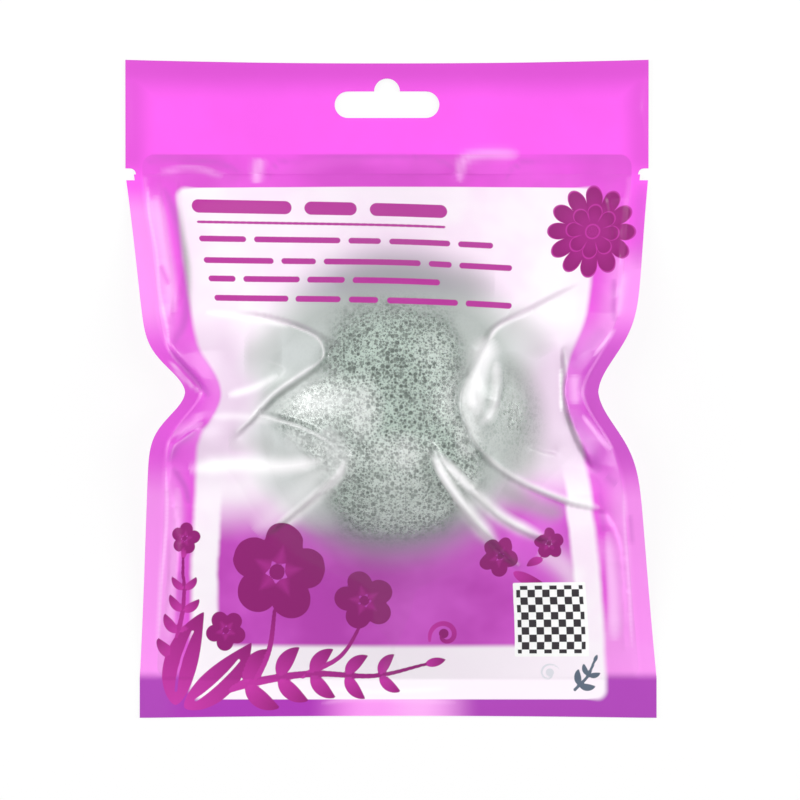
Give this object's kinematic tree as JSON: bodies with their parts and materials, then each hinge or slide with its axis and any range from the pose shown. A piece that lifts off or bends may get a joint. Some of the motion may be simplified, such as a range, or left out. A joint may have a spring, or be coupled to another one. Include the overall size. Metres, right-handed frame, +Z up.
{
  "type": "konjac face puff in a hang pouch",
  "caption": "Dome-shaped konjac cleansing puff sealed in a flat film pouch with a printed front, a tear-off header and a hang slot.",
  "frame": {"origin": "on the table, on the outside of the back film, under the centre of the puff's flat face", "axes": "+Z up out of the pouch's front, +Y from the puff towards the header, +X to the right as the front is read"},
  "size_m": [0.132, 0.1635, 0.0387],
  "materials": {
    "konjac_foam": "moist open-pored plant fibre foam, matt",
    "front_film": "frosted clear film with soft gloss, printed",
    "back_film": "printed film, soft gloss",
    "seal_film": "two films welded together, soft gloss",
    "header_film": "printed film, soft gloss"
  },
  "bodies": {
    "pouch": {"front_film": "front_film", "back_film": "back_film", "left_seal": "seal_film", "right_seal": "seal_film", "foot_seal": "seal_film"},
    "puff": {"konjac_puff": "konjac_foam"},
    "header": {"header_front": "header_film", "header_back": "header_film"}
  },
  "joints": [
    {"name": "header_tear", "type": "hinge", "parent": "pouch", "child": "header", "pos_m": [0.0609, 0.058, 0], "axis": [0, 0, -1], "range_deg": [0, 55]},
    {"name": "puff_turn", "type": "hinge", "parent": "pouch", "child": "puff", "pos_m": [0, 0, 0], "axis": [0, 0, 1], "continuous": true}
  ]
}
